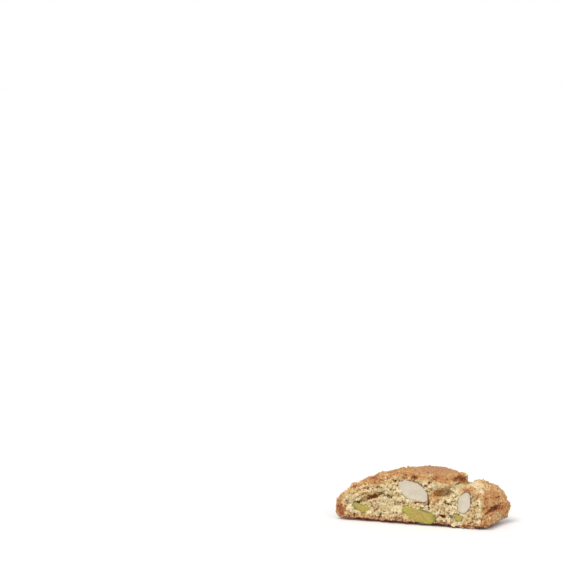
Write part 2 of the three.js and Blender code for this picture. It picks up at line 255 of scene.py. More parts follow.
class NutSettings(bpy.types.PropertyGroup):
    """Sizes in millimetres and colours of the nuts."""

    skin: millimetres("Skin", "Thickness of a nut's skin, mm", 0.11, 0.02, 1)
    almond: colour("Almond", "Cut almond", (0.61, 0.54, 0.42))
    almond_shade: colour("Almond shade", "Greyer bands of a cut almond", (0.53, 0.455, 0.34))
    almond_light: colour("Almond fibres", "Lightest fibres of a cut almond", (0.76, 0.70, 0.57))
    almond_dark: colour("Almond nicks", "Nicks in a cut almond", (0.44, 0.34, 0.22))
    almond_skin: colour("Almond skin", "Skin of the almonds", (0.19, 0.07, 0.035))
    pistachio: colour("Pistachio", "Middle of a cut pistachio", (0.41, 0.30, 0.06))
    pistachio_rim: colour("Pistachio rim", "Greener rim of a pistachio", (0.40, 0.375, 0.028))
    pistachio_cloud: colour("Pistachio cloud", "Browner patches of a pistachio", (0.40, 0.27, 0.10))
    pistachio_tip: colour("Pistachio tip", "Dark green ends of a pistachio", (0.17, 0.165, 0.012))
    pistachio_light: colour("Pistachio grain", "Lightest grain of a pistachio", (0.60, 0.54, 0.2))
    pistachio_dark: colour("Pistachio nicks", "Nicks in a cut pistachio", (0.2, 0.17, 0.025))
    pistachio_skin: colour("Pistachio skin", "Skin of the pistachios", (0.16, 0.08, 0.055))


class CrumbSettings(bpy.types.PropertyGroup):
    """Counts and sizes of the grains that cling to the slice."""

    crumb_grains: whole_number("Crumb grains", "Grains on the cuts", 950)
    crust_grains: whole_number("Crust grains", "Grains on the crust", 800)
    almond_bits: whole_number("Almond bits", "Bits of almond", 26)
    pistachio_bits: whole_number("Pistachio bits", "Bits of pistachio", 16)
    flakes: whole_number("Flakes", "Flakes of nut skin", 24)
    grain_size: millimetres("Grain size", "Mean size of a grain, mm", 0.52, 0.1, 2)
    seed: whole_number("Seed", "Seed of the random draw", 11)


class StageSettings(bpy.types.PropertyGroup):
    """Light, floor and camera."""

    floor: colour("Floor", "Plain pale floor", (0.9, 0.9, 0.905))
    key: brightness("Key light", "Strength of the soft key light", 1.85)
    fill: brightness("Fill light", "Strength of the light from the right", 0.85)
    sky: brightness("Sky", "Strength of the even light", 0.54)


SETTINGS = {
    "biscotto_biscuit": BiscuitSettings,
    "biscotto_nuts": NutSettings,
    "biscotto_crumbs": CrumbSettings,
    "biscotto_stage": StageSettings,
}


# Shader maths


class Socket:
    """A shader socket that reads as a number in Python expressions."""

    def __init__(self, finish, link):
        self.finish = finish
        self.link = link

    def __add__(self, other):
        return self.finish.maths("ADD", self, other)

    def __sub__(self, other):
        return self.finish.maths("SUBTRACT", self, other)

    def __rsub__(self, other):
        return self.finish.maths("SUBTRACT", other, self)

    def __mul__(self, other):
        return self.finish.maths("MULTIPLY", self, other)

    __radd__ = __add__
    __rmul__ = __mul__

    def clamped(self):
        return self.finish.maths("ADD", self, 0, use_clamp=True)


class Finish:
    """One material, with its nodes made by calls."""

    def __init__(self, name, **uniform):
        """The uniform values are those of the shader's sockets, with _ for each space."""
        self.material = bpy.data.materials.new(name)
        self.material.use_nodes = True
        self.tree = self.material.node_tree
        self.shader = self.tree.nodes["Principled BSDF"]
        for socket, value in uniform.items():
            self.shader.inputs[socket.replace("_", " ")].default_value = value

    def plug(self, value, target):
        if isinstance(value, Socket):
            self.tree.links.new(value.link, target)
        elif hasattr(target.default_value, "__len__") and len(value) < len(target.default_value):
            target.default_value = (*value, 1)
        else:
            target.default_value = value

    def node(self, kind, settings=None, sockets=None, output=0):
        """A node of a type, with its settings first and then the values or links of its sockets."""
        made = self.tree.nodes.new(kind)
        for key, value in (settings or {}).items():
            setattr(made, key, value)
        for key, value in (sockets or {}).items():
            self.plug(value, made.inputs[key])
        return Socket(self, made.outputs[output])

    def maths(self, operation, a, b, use_clamp=False):
        settings = {"operation": operation, "use_clamp": use_clamp}
        return self.node("ShaderNodeMath", settings, {0: a, 1: b})

    def mix(self, a, b, factor):
        """A colour between two others."""
        return self.node("ShaderNodeMix", {"data_type": "RGBA"}, {0: factor, 6: a, 7: b}, output=2)

    def between(self, value, low, high):
        """0 below low, 1 above high and smooth in between."""
        settings = {"interpolation_type": "SMOOTHSTEP"}
        return self.node("ShaderNodeMapRange", settings, {"Value": value, 1: low, 2: high})

    def attribute(self, name):
        return self.node("ShaderNodeAttribute", {"attribute_name": name}, output="Fac")

    def place(self):
        """Object coordinates in millimetres."""
        place = self.node("ShaderNodeTexCoord", output="Object")
        settings = {"operation": "SCALE"}
        return self.node("ShaderNodeVectorMath", settings, {0: place, "Scale": 1 / MM})

    def noise(self, place, size, detail=3.0, roughness=0.55):
        """Soft noise with features of a size in millimetres, about 0.5."""
        sockets = {"Vector": place, "Scale": 1 / size, "Detail": detail, "Roughness": roughness}
        return self.node("ShaderNodeTexNoise", {}, sockets)

    def cells(self, place, size):
        """How far each place is from the nearest of some points strewn a size apart."""
        return self.node("ShaderNodeTexVoronoi", {}, {"Vector": place, "Scale": 1 / size})

    def bump(self, height, distance, strength):
        sockets = {"Height": height, "Distance": distance * MM, "Strength": strength}
        self.feed("Normal", self.node("ShaderNodeBump", {}, sockets))

    def feed(self, name, value):
        self.plug(value, self.shader.inputs[name])


# Meshes as arrays of points in millimetres


def read_vectors(mesh, key):
    values = np.empty(len(mesh.vertices) * 3)
    mesh.vertices.foreach_get(key, values)
    return values.reshape(-1, 3)


def points_of(mesh):
    return read_vectors(mesh, "co") / MM


def normals_of(mesh):
    return read_vectors(mesh, "normal")


def ends_of(mesh):
    """The numbers of the points at the two ends of each edge."""
    ends = np.empty(len(mesh.edges) * 2, np.int64)
    mesh.edges.foreach_get("vertices", ends)
    return ends.reshape(-1, 2).T


def write_points(mesh, points):
    mesh.vertices.foreach_set("co", (points * MM).ravel())
    mesh.update()


def write_attribute(mesh, name, values):
    layer = mesh.attributes.new(name, "FLOAT", "POINT")
    layer.data.foreach_set("value", np.asarray(values, np.float32))


def read_attribute(mesh, name):
    values = np.empty(len(mesh.vertices), np.float32)
    mesh.attributes[name].data.foreach_get("value", values)
    return values


def add_piece(name, mesh, material, slot, nodes=(), smooth=True):
    """Links a mesh as a piece that rides on the slice, and replaces the nodes that it stands for."""
    mesh.name = name
    mesh.materials.clear()
    mesh.materials.append(material)
    mesh.polygons.foreach_set("use_smooth", [smooth] * len(mesh.polygons))
    piece = bpy.data.objects.new(name, mesh)
    bpy.context.scene.collection.objects.link(piece)
    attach(piece, "root")
    if nodes:
        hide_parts(*nodes)
    return piece


def joined(meshes):
    """One mesh of several, keeping their attributes."""
    holder = [bpy.data.objects.new("part", mesh) for mesh in meshes]
    for item in holder:
        bpy.context.scene.collection.objects.link(item)
    with bpy.context.temp_override(
        active_object=holder[0], object=holder[0], selected_editable_objects=holder
    ):
        bpy.ops.object.join()
    mesh = holder[0].data
    bpy.data.objects.remove(holder[0])
    return mesh


def even_mesh(meshes, step):
    """One even mesh of quads round some closed meshes that may overlap."""
    work = bpy.data.objects.new("work", joined(meshes))
    bpy.context.scene.collection.objects.link(work)
    welded = bmesh.new()
    welded.from_mesh(work.data)
    bmesh.ops.remove_doubles(welded, verts=welded.verts, dist=MM * 0.001)
    welded.to_mesh(work.data)
    welded.free()
    remesh = work.modifiers.new("Even", "REMESH")
    remesh.mode = "VOXEL"
    remesh.voxel_size = step * MM
    evaluated = work.evaluated_get(bpy.context.evaluated_depsgraph_get())
    mesh = bpy.data.meshes.new_from_object(evaluated)
    bpy.data.objects.remove(work)
    return without_scraps(mesh)


def thinned(mesh, triangles):
    """The mesh in a number of triangles, with its attributes."""
    work = bpy.data.objects.new("work", mesh)
    bpy.context.scene.collection.objects.link(work)
    thin = work.modifiers.new("Thin", "DECIMATE")
    thin.use_collapse_triangulate = True
    thin.ratio = min(1.0, triangles / (len(mesh.loops) - 2 * len(mesh.polygons)))
    evaluated = work.evaluated_get(bpy.context.evaluated_depsgraph_get())
    thin_mesh = bpy.data.meshes.new_from_object(evaluated)
    bpy.data.objects.remove(work)
    return thin_mesh


def without_scraps(mesh):
    """The mesh with only its largest closed body."""
    a, b = ends_of(mesh)
    label = np.arange(len(mesh.vertices))
    while True:
        least = label.copy()
        np.minimum.at(least, a, label[b])
        np.minimum.at(least, b, label[a])
        least = least[least]
        if np.array_equal(least, label):
            break
        label = least
    largest = np.bincount(label).argmax()
    loose = np.flatnonzero(label != largest)
    if len(loose):
        body = bmesh.new()
        body.from_mesh(mesh)
        body.verts.ensure_lookup_table()
        bmesh.ops.delete(body, geom=[body.verts[i] for i in loose], context="VERTS")
        body.to_mesh(mesh)
        body.free()
    return mesh


def relaxed(mesh, values, rounds, strength=0.6):
    """Values at a mesh's points, drawn towards their neighbours' mean for some rounds."""
    a, b = ends_of(mesh)
    count = len(mesh.vertices)
    neighbours = np.bincount(a, minlength=count) + np.bincount(b, minlength=count)
    values = np.array(values, float).reshape(count, -1)
    for _ in range(rounds):
        for column in values.T:
            total = np.bincount(a, column[b], count) + np.bincount(b, column[a], count)
            column += strength * (total / neighbours - column)
    return values if values.shape[1] > 1 else values[:, 0]


def smoothstep(values, low, high):
    x = np.clip((np.asarray(values) - low) / (high - low), 0, 1)
    return x * x * (3 - 2 * x)


def sampled(value_at, points, size, shift):
    """What a function of place gives at some points, with features of a size in millimetres."""
    return np.array([value_at(Vector(point) / size + shift) for point in points])


def soft_noise(points, size, seed):
    """Smooth noise of about -1 to 1."""
    return sampled(noise.noise, points, size, NOISE_SHIFT * seed)


def layered_noise(points, size, octaves, seed):
    """Smooth noise with finer noise on it."""
    fading, narrowing = 0.7, 2.1

    def value_at(place):
        return noise.fractal(place, fading, narrowing, octaves)

    return sampled(value_at, points, size, NOISE_SHIFT * seed)


def lumps(points, size, seed):
    """Rounded grains with creases between them, of about -1 to 0.5."""
    near = sampled(lambda place: noise.voronoi(place)[0][0], points, size, CELL_SHIFT * (seed + 1))
    return 0.5 - 1.9 * np.square(near)


def warped(points, amount, size, seed):
    """Points moved about by smooth noise, which bends what is worked out from them."""
    noise.seed_set(NOISE_SEED)
    return points + amount * sampled(noise.noise_vector, points, size, WARP_SHIFT * (seed + 1))


def region(points, places):
    """The strongest pull of some regions at each point, from 0 to 1."""
    pull = np.zeros(len(points))
    for middle, reach, strength in places:
        away = np.square((points - middle) / reach).sum(axis=1)
        pull = np.maximum(pull, strength * np.exp(-away))
    return pull


def log_section(points):
    """Points carried back along the skew, so that the baked surface is one long tube."""
    across = points[:, 0] - SKEW * points[:, 1] - HEART[0]
    return np.stack([across, points[:, 1] * 0.12, points[:, 2] - HEART[1]], axis=1)


def baked_surface(points):
    """A tree of the points that lie on the log's baked surface."""
    turns, slices, shell = 240, 16, 0.9
    section = log_section(points)
    reach = np.hypot(section[:, 0], section[:, 2])
    turn = ((np.arctan2(section[:, 2], section[:, 0]) / math.tau + 1) * turns).astype(int) % turns
    through = ((points[:, 1] / HALF_THICKNESS + 1) * (slices / 2)).astype(int)
    through = np.clip(through, 0, slices - 1)
    farthest = np.zeros((turns, slices))
    np.maximum.at(farthest, (turn, through), reach)
    outer = reach > farthest[turn, through] - shell
    outer &= np.abs(points[:, 1]) < HALF_THICKNESS - 1.4
    return tree_of(section[outer])


def tree_of(points):
    tree = kdtree.KDTree(len(points))
    for i, point in enumerate(points):
        tree.insert(point, i)
    tree.balance()
    return tree


def depth_under(baked, points):
    """How far in from the log's crust each point is, along the cut, in millimetres."""
    depth = np.array([baked.find(point)[2] for point in log_section(points)])
    rolled, torn = region(points, ROLLED_IN), region(points, TORN_OUT)
    return np.maximum(depth - ROLL_WIDTH * rolled + TORN_WIDTH * torn, 0)


def crumb_relief(points, settings):
    """Torn crumb: grains, long waves and pores of three sizes."""
    bent = warped(points, 1.3, 2.4, 1)
    relief = 0.25 + 0.55 * lumps(bent, 1.9, 1) + 0.3 * lumps(bent, 0.8, 2)
    relief += 1.0 * layered_noise(points, 4.6, 2, 3)
    pores = np.zeros(len(points))
    for size, seed, low, high, depth in (
        (1.7, 4, 0.3, 0.55, 1.0),
        (0.95, 5, 0.33, 0.58, 0.36),
        (3.2, 27, 0.42, 0.6, 1.4),
    ):
        pores = np.maximum(pores, depth * smoothstep(soft_noise(bent, size, seed), low, high))
    return settings.crumb_relief * relief - settings.pore_depth * pores


def crust_relief(points, settings):
    """Crust: bumps and the fine splits that the oven opened between them."""
    split_depth = 0.7
    bent = warped(points, 0.9, 3.5, 6)
    relief = 0.9 * lumps(bent, 3.0, 7) + 0.5 * lumps(bent, 1.3, 8)
    relief += 0.6 * layered_noise(points, 6.5, 2, 10)
    splits = 1 - smoothstep(np.abs(soft_noise(bent, 4.2, 11)), 0.0, 0.09)
    splits *= smoothstep(soft_noise(points, 7.0, 12), 0.05, 0.3)
    return settings.crust_relief * relief - split_depth * splits


def dough_layers(points, depth):
    """Long waves that follow the crust at a constant depth, as the dough was folded, from -1 to 1."""
    along = np.stack([points[:, 0] * 0.3, points[:, 1] * 0.4, depth * 1.1], axis=1)
    return 1.6 * soft_noise(warped(along, 0.5, 1.5, 28), 1.7, 29)


def fine_relief(points):
    """Grit on the lumps and pin holes between them."""
    pins = smoothstep(soft_noise(points, 0.62, 16), 0.3, 0.55)
    return 0.1 * lumps(points, 0.6, 9) + 0.08 * layered_noise(points, 0.8, 2, 17) - 0.22 * pins


def base_relief(points):
    """Pits in the flat base, which never stands lower than the floor."""
    pit_depth, crease_depth = 0.6, 0.2
    bent = warped(points, 0.6, 2.0, 13)
    pits = smoothstep(soft_noise(bent, 2.1, 14), 0.12, 0.5)
    creases = smoothstep(-lumps(bent, 1.1, 15), -0.2, 0.6)
    return -pit_depth * pits - crease_depth * creases


def hollowness(mesh, points, rounds, height):
    """How far each point lies in a hollow, from -1 on a tip to 1 in a pit of a height."""
    smooth = relaxed(mesh, points, rounds)
    normals = relaxed(mesh, normals_of(mesh), rounds // 2 + 1)
    normals /= np.linalg.norm(normals, axis=1)[:, None]
    return np.clip(((smooth - points) * normals).sum(axis=1) / height, -1, 1)


def make_bake_map(piece):
    """Unwraps the mesh as if it were smooth, so that the bake's map has few islands."""
    mesh = piece.data
    rough = points_of(mesh)
    write_points(mesh, relaxed(mesh, rough, 40))
    bpy.ops.object.select_all(action="DESELECT")
    bpy.context.view_layer.objects.active = piece
    piece.select_set(True)
    mesh.uv_layers.new(name="OFBake")
    bpy.ops.object.mode_set(mode="EDIT")
    bpy.ops.mesh.select_all(action="SELECT")
    bpy.ops.uv.smart_project(angle_limit=math.radians(70), island_margin=0.002)
    bpy.ops.object.mode_set(mode="OBJECT")
    write_points(mesh, rough)


def dough_finish(settings, name):
    """Crumb, golden rim and crust in one finish, told apart by the mesh's own attributes."""
    finish = Finish(
        name,
        Subsurface_Weight=0.1,
        Subsurface_Scale=0.5 * MM,
        Subsurface_Radius=(1.0, 0.55, 0.25),
        IOR=1.42,
        Specular_IOR_Level=0.4,
    )
    place = finish.place()
    depth, layer, toast, rosy, pale, sole, pit, nick = map(finish.attribute, (*ZONES, "pit", "nick"))
    wide = finish.noise(place, 5.0, 2)
    clump = finish.noise(place, 1.3, 3, 0.6)
    fine = finish.noise(place, 0.6, 4, 0.7)
    specks = finish.noise(place, 0.4, 2, 0.7)

    # Crumb: pale grains, golden towards the crust, with a painted highlight on the grains' tips, painted
    # shade in the pits and pores, and darker tone at random.
    tint = (wide - 0.5) * 1.4 + (clump - 0.5) * 2.2 + (fine - 0.5) * 1.8 + pale * 0.1 + layer * 0.5
    # The tips of the crumb's grains are lightened as a painted highlight, with paler tone at random.
    inside = finish.mix(settings.crumb, settings.crumb_pale_and_highlight, (pit * -1.1 - nick * 0.7 + tint).clamped())
    rim = 1 - finish.between(depth + (clump - 0.5) * 3.0 + (wide - 0.5) * 2.4, 0.8, 4.2)
    warm = rim * 0.85 + toast * 0.8 + (wide - 0.5) * 2.0 + (clump - 0.5) * 0.9 - pale * 0.5 - layer * 0.4
    inside = finish.mix(inside, settings.golden, warm.clamped() * 0.85)
    # Painted shade: darker in the mesh's hollows, with darker tone at random and in the toasted and
    # shaded regions.
    cavity_shade = pit * 1.8 + nick * 1.2 + (0.46 - clump) * 2.0 + (0.44 - fine) * 2.0 + toast * 0.5
    cavity_shade = cavity_shade - pale * 0.15 - layer * 0.25
    inside = finish.mix(inside, settings.crumb_pit_shade, (cavity_shade * 1.3).clamped())
    inside = finish.mix(inside, settings.pore_shade, ((cavity_shade - 0.45) * 1.5).clamped())

    # Crust: orange brown where it baked hottest, with a painted highlight on its tips and painted shade
    # in its hollows.
    patch = finish.noise(place, 2.6, 3, 0.6)
    # Painted highlight on the crust's tips. The paler mix below also adds tone at random.
    tip_highlight = (pit * -2.4 - nick * 1.7).clamped()
    hot = (patch - 0.5) * 5.5 + toast * 1.5 - tip_highlight * 0.8
    browned = finish.mix(settings.crust, settings.ember, hot.clamped())
    browned = finish.mix(browned, settings.rosy, (rosy - toast * 0.5).clamped())
    light = tip_highlight + (clump - 0.5) * 4.2 + (0.5 - patch) * 4.0 + (wide - 0.5) * 2.4
    light = (light - 0.28 - rosy * 0.5 + pale * 1.1 - toast * 1.2).clamped()
    browned = finish.mix(browned, settings.golden, light)
    browned = finish.mix(browned, settings.crumb_pale_and_highlight, (light * 0.9 + pale * 0.5 - 0.55).clamped())
    # Painted shade in the crust's hollows, with darker tone at random, in the toasted and shaded
    # regions, and along the base.
    dark = pit * 2.4 + nick * 1.8 + (0.47 - fine) * 3.0 + (0.44 - clump) * 2.4 + (toast - 0.45) * 1.1
    dark = (dark + sole * (0.28 + (0.5 - clump) * 3.2 + (0.5 - fine) * 1.8 - pale * 0.6)).clamped()
    browned = finish.mix(browned, settings.deep_brown_and_shade, dark * 0.9)

    # Where the crust ends and the crumb begins, and the bright specks on both: pale grit and painted
    # glints, kept out of the pits.
    wander = (clump - 0.5) * (2.2 + sole * 2.0) + (patch - 0.5) * 2.6
    skin = 1 - finish.between(depth + wander - sole * 2.6, 0.1, 1.8)
    skin = (skin + finish.between(toast + (clump - 0.5) * 0.4, 0.5, 0.85)).clamped()
    shade = finish.mix(inside, browned, skin)
    # Painted glints and pale grit, at random specks away from pits.
    glint = finish.between(specks, 0.54, 0.66) * (0.75 - pit - toast * 0.6 - rosy * 0.2).clamped()
    gleam = finish.mix(settings.crumb_grit_and_glint, settings.crust_grit_and_glint, skin * (1 - sole))
    shade = finish.mix(shade, gleam, glint * (0.6 + sole * 0.3))
    finish.feed("Base Color", shade)
    finish.feed("Roughness", 0.6 + (fine - 0.5) * 0.3 + (1 - skin) * 0.25)
    height = finish.noise(place, 0.45, 4, 0.75) * 0.7 + finish.cells(place, 0.3) * 0.5
    finish.bump(height, 0.14, 0.6)
    return finish.material


# Nuts


def section_outline(node, count):
    """A nut's outline in the plane of its cut, evenly spaced.

    Gives its points and its middle as x and z, the plane's y, and 1 or -1 as the way into the slice.
    """
    points = points_of(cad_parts[node].data)
    inward = 1 if points[:, 1].mean() < 0 else -1
    plane = points[:, 1].min() if inward == 1 else points[:, 1].max()
    edge = points[np.abs(points[:, 1] - plane) < 0.01][:, [0, 2]]
    edge = np.unique(edge.round(3), axis=0)
    middle = (edge.min(axis=0) + edge.max(axis=0)) / 2
    turn = np.arctan2(*(edge - middle).T[::-1])
    order = np.argsort(turn)
    turn, reach = turn[order], np.hypot(*(edge - middle).T)[order]
    even = np.linspace(-math.pi, math.pi, count, endpoint=False)
    reach = np.interp(even, turn, reach, period=math.tau)
    for _ in range(count // 24):
        reach = 0.5 * reach + 0.25 * (np.roll(reach, 1) + np.roll(reach, -1))
    ring = middle + reach[:, None] * np.stack([np.cos(even), np.sin(even)], axis=1)
    return ring, middle, plane, inward


def outward_of(ring):
    """Unit vectors out of a closed ring of [x, z] points."""
    along = np.roll(ring, -1, axis=0) - np.roll(ring, 1, axis=0)
    out = np.stack([along[:, 1], -along[:, 0]], axis=1)
    return out / np.linalg.norm(out, axis=1)[:, None]


def closed_rings(rings, first=None, last=None):
    """A closed mesh through rings of points, with a pole at each end, or a tube that meets itself."""
    count = len(rings[0])
    points = np.concatenate(rings)
    faces = []
    around = range(count)
    pairs = range(len(rings) - 1) if first is not None else range(len(rings))
    for r in pairs:
        low, high = r * count, (r + 1) % len(rings) * count
        for i in around:
            j = (i + 1) % count
            faces.append((low + i, low + j, high + j, high + i))
    if first is not None:
        start, end = len(points), len(points) + 1
        points = np.concatenate([points, [first], [last]])
        high = (len(rings) - 1) * count
        faces += [(start, (i + 1) % count, i) for i in around]
        faces += [(end, high + i, high + (i + 1) % count) for i in around]
    mesh = bpy.data.meshes.new("rings")
    mesh.from_pydata((points * MM).tolist(), [], faces)
    outward = bmesh.new()
    outward.from_mesh(mesh)
    bmesh.ops.recalc_face_normals(outward, faces=outward.faces)
    outward.to_mesh(mesh)
    outward.free()
    return mesh


def standing(ring, y):
    """The ring's points in space, at one y or at a y for each."""
    return np.stack([ring[:, 0], np.broadcast_to(y, len(ring)), ring[:, 1]], axis=1)


def grown(ring):
    """How far a kernel swells to meet the crumb round it, unevenly, in millimetres."""
    return 0.26 + 0.12 * soft_noise(standing(ring, 2.5), 1.9, 23)


def kernel_mesh(node, relief):
    """A nut: a cut face with a softened edge, and the kernel's dome going in behind it."""
    around, face_rings, dome_rings = 132, 16, 12
    flat_share, softened = 0.97, 0.35
    ring, middle, plane, inward = section_outline(node, around)
    ring = ring + outward_of(ring) * grown(ring)[:, None]
    low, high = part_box(node)
    reach = (high.y - low.y) / MM
    rings, edge_share = [], []

    def add(share, y):
        rings.append(standing(middle + (ring - middle) * share, plane + inward * y))
        edge_share.append(np.full(around, share if y < softened else 1.0))

    for k in range(1, face_rings):
        add(k / face_rings * flat_share, 0.0)
    for bend in (0.25, 0.55, 0.85):
        angle = bend * math.pi / 2
        add(flat_share + (1 - flat_share) * math.sin(angle), softened * (1 - math.cos(angle)))
    for k in range(1, dome_rings):
        y = softened + (reach - softened) * k / dome_rings
        add(math.sqrt(max(0, 1 - (y / reach) ** 2)), y)
    centre = np.array([middle[0], plane, middle[1]])
    inner = np.array([middle[0], plane + inward * reach, middle[1]])
    mesh = closed_rings(rings, centre, inner)
    points = points_of(mesh)
    share = np.concatenate([*edge_share, [0.0, 1.0]])
    points = relief(points, share, plane, inward)
    write_points(mesh, points)
    write_attribute(mesh, "edge", share)
    write_attribute(mesh, "face", (np.abs(points[:, 1] - plane) < 0.6).astype(float))
    return mesh


def almond_relief(points, share, plane, inward):
    """Nearly flat, faintly dished, with nicks at the edge."""
    front = smoothstep(np.abs(points[:, 1] - plane), 1.2, 0.2)
    dish = 0.22 * (1 - share**2) + 0.1 * layered_noise(points, 3.2, 3, 21)
    nicks = smoothstep(soft_noise(points, 1.1, 22), 0.3, 0.6) * smoothstep(share, 0.86, 1.0)
    points[:, 1] += inward * front * (0.12 + dish + 0.4 * nicks)
    return points


def pistachio_relief(points, share, plane, inward):
    """Waxy and uneven, with a shallow furrow where the kernel's halves meet."""
    front = smoothstep(np.abs(points[:, 1] - plane), 1.0, 0.2)
    furrow = 0.3 * np.exp(-np.square(soft_noise(points, 4.5, 24) / 0.08))
    uneven = 0.16 * layered_noise(points, 1.8, 3, 25) + 0.12 * lumps(points, 1.0, 26)
    rounded = 0.3 * share**4
    points[:, 1] += inward * front * (0.14 + furrow * (1 - share**2) - uneven + rounded)
    return points


def room_round_nuts(points):
    """How far outside the nearest nut's outline each point near a cut lies, in millimetres."""
    plenty, kernel_depth = 9.0, 4
    room = np.full(len(points), plenty)
    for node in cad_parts:
        if node == "biscuit":
            continue
        ring, middle, plane, _inward = section_outline(node, 96)
        spokes, away = ring - middle, points[:, [0, 2]] - middle
        turns = np.arctan2(spokes[:, 1], spokes[:, 0])
        edge = np.interp(
            np.arctan2(away[:, 1], away[:, 0]), turns, np.hypot(*spokes.T), period=math.tau
        )
        beyond = np.hypot(*away.T) - edge
        beside = np.abs(points[:, 1] - plane) < kernel_depth
        room = np.where(beside, np.minimum(room, beyond), room)
    return room


def skin_mesh(node, thickness, seed, gaps):
    """A nut's skin: a thin wavy wall round its section, torn away in places."""
    count, depth = 120, 1.5
    ring, _middle, plane, inward = section_outline(node, count)
    outward = outward_of(ring)
    steps = standing(ring, seed * 7.0)
    wave = soft_noise(steps, 2.2, seed)
    torn = smoothstep(soft_noise(steps, 5.5, seed + 0.5), gaps - 0.15, gaps + 0.1)
    top = 0.12 - 0.14 * wave + torn * 1.1
    rings = []
    for inset, share in ((0.03, 0), (0.03, 0.5), (0.03, 1), (1, 1), (1, 0.5), (1, 0)):
        offset = 0.2 + thickness * inset * (1 + 1.6 * wave) + 0.05 * (1 + wave) * (1 - share)
        y = plane + inward * (top + (depth - top) * share)
        rings.append(standing(ring + outward * offset[:, None], y))
    return closed_rings(rings)


def almond_finish(settings):
    """Cream kernel with fibres and nicks, browner at the edge of its cut."""
    radius = (1.0, 0.7, 0.4)
    finish = Finish(
        "Almond", Subsurface_Weight=0.12, Subsurface_Scale=0.7 * MM, Subsurface_Radius=radius
    )
    place = finish.place()
    edge, face = finish.attribute("edge"), finish.attribute("face")
    bands = finish.noise(place, 3.4, 3, 0.6)
    fibres = finish.noise(place, 0.5, 4, 0.7)
    broken = finish.noise(place, 1.7, 2)
    shade = finish.mix(settings.almond, settings.almond_shade, finish.between(bands, 0.4, 0.75) * 0.7)
    shade = finish.mix(shade, settings.almond_shade, finish.between(edge, 0.6, 0.97) * 0.75)
    shade = finish.mix(shade, settings.almond_light, finish.between(fibres, 0.52, 0.7) * 0.5)
    shade = finish.mix(shade, settings.almond_dark, finish.between(0.5 - fibres, 0.06, 0.18) * 0.5)
    browned = finish.between(edge + (broken - 0.5) * 0.3 + (fibres - 0.5) * 0.06, 0.96, 1.0)
    shade = finish.mix(shade, settings.almond_skin, (browned * 0.8 + (1 - face)).clamped())
    finish.feed("Base Color", shade)
    finish.feed("Roughness", 0.5 + (fibres - 0.5) * 0.3)
    finish.bump(fibres * 0.6 + bands * 0.5, 0.2, 0.7)
    return finish.material


def pistachio_finish(settings):
    """Waxy kernel, tan in the middle and greener towards its rim."""
    radius = (0.8, 1.0, 0.3)
    finish = Finish(
        "Pistachio", Subsurface_Weight=0.2, Subsurface_Scale=0.9 * MM, Subsurface_Radius=radius
    )
    place = finish.place()
    edge, face = finish.attribute("edge"), finish.attribute("face")
    cloud = finish.noise(place, 3.4, 3, 0.6)
    fine = finish.noise(place, 0.6, 4, 0.7)
    green = (finish.between(edge + (cloud - 0.5) * 0.6, 0.55, 0.95) * 0.9).clamped()
    shade = finish.mix(settings.pistachio, settings.pistachio_rim, green)
    shade = finish.mix(shade, settings.pistachio_cloud, finish.between(cloud, 0.5, 0.68) * 0.5)
    tips = finish.between(edge + (finish.noise(place, 7.0, 1) - 0.5) * 2.4, 0.95, 1.4)
    shade = finish.mix(shade, settings.pistachio_tip, tips)
    shade = finish.mix(shade, settings.pistachio_light, finish.between(fine, 0.52, 0.7) * 0.5)
    shade = finish.mix(shade, settings.pistachio_dark, finish.between(0.5 - fine, 0.06, 0.2) * 0.55)
    browned = finish.between(edge + (fine - 0.5) * 0.14, 0.94, 1.0) * 0.4
    shade = finish.mix(shade, settings.pistachio_skin, (browned + (1 - face)).clamped())
    finish.feed("Base Color", shade)
    finish.feed("Roughness", 0.5 + (fine - 0.5) * 0.4)
    finish.bump(fine * 0.6 + cloud * 0.4, 0.15, 0.5)
    return finish.material


def skin_finish(name, shade):
    """Papery skin with paler patches."""
    finish = Finish(name)
    place = finish.place()
    patches = finish.noise(place, 1.4, 3, 0.6)
    light = tuple(min(1.0, 1.7 * value + 0.01) for value in shade)
    finish.feed("Base Color", finish.mix(shade, light, finish.between(patches, 0.45, 0.7)))
    finish.feed("Roughness", 0.55 + patches * 0.3)
    finish.bump(patches, 0.08, 0.5)
    return finish.material


# Clinging grains


def grain_shapes(kinds, random):
    """A few lumpy grains at unit size, as (points, faces)."""
    shapes = []
    for _ in range(kinds):
        ball = bmesh.new()
        bmesh.ops.create_icosphere(ball, subdivisions=1, radius=0.5)
        points = np.array([vertex.co for vertex in ball.verts])
        faces = np.array([[vertex.index for vertex in face.verts] for face in ball.faces])
        ball.free()
        points *= random.uniform(0.68, 1.25, (len(points), 1)) * random.uniform(0.7, 1.25, 3)
        shapes.append((points, faces))
    return shapes


def random_turn(random):
    axis = Vector(random.normal(size=3)).normalized()
    return np.array(Matrix.Rotation(random.uniform(0, math.tau), 3, axis))


def strewn(places, normals, sizes, raised, random, flat=1.0):
    """Grains of some sizes at some places, as one mesh, and which place each point belongs to."""
    kinds = 16
    shapes = [(shape * (1, 1, flat), sides) for shape, sides in grain_shapes(kinds, random)]
    raised = np.broadcast_to(raised, len(places))
    points, faces, sources, count = [], [], [], 0
    for i, place in enumerate(places):
        shape, sides = shapes[random.integers(len(shapes))]
        middle = place + normals[i] * sizes[i] * raised[i]
        points.append(shape @ random_turn(random).T * sizes[i] + middle)
        faces.append(sides + count)
        sources.append(np.full(len(shape), i))
        count += len(shape)
    mesh = bpy.data.meshes.new("grains")
    mesh.from_pydata((np.concatenate(points) * MM).tolist(), [], np.concatenate(faces).tolist())
    return mesh, np.concatenate(sources)


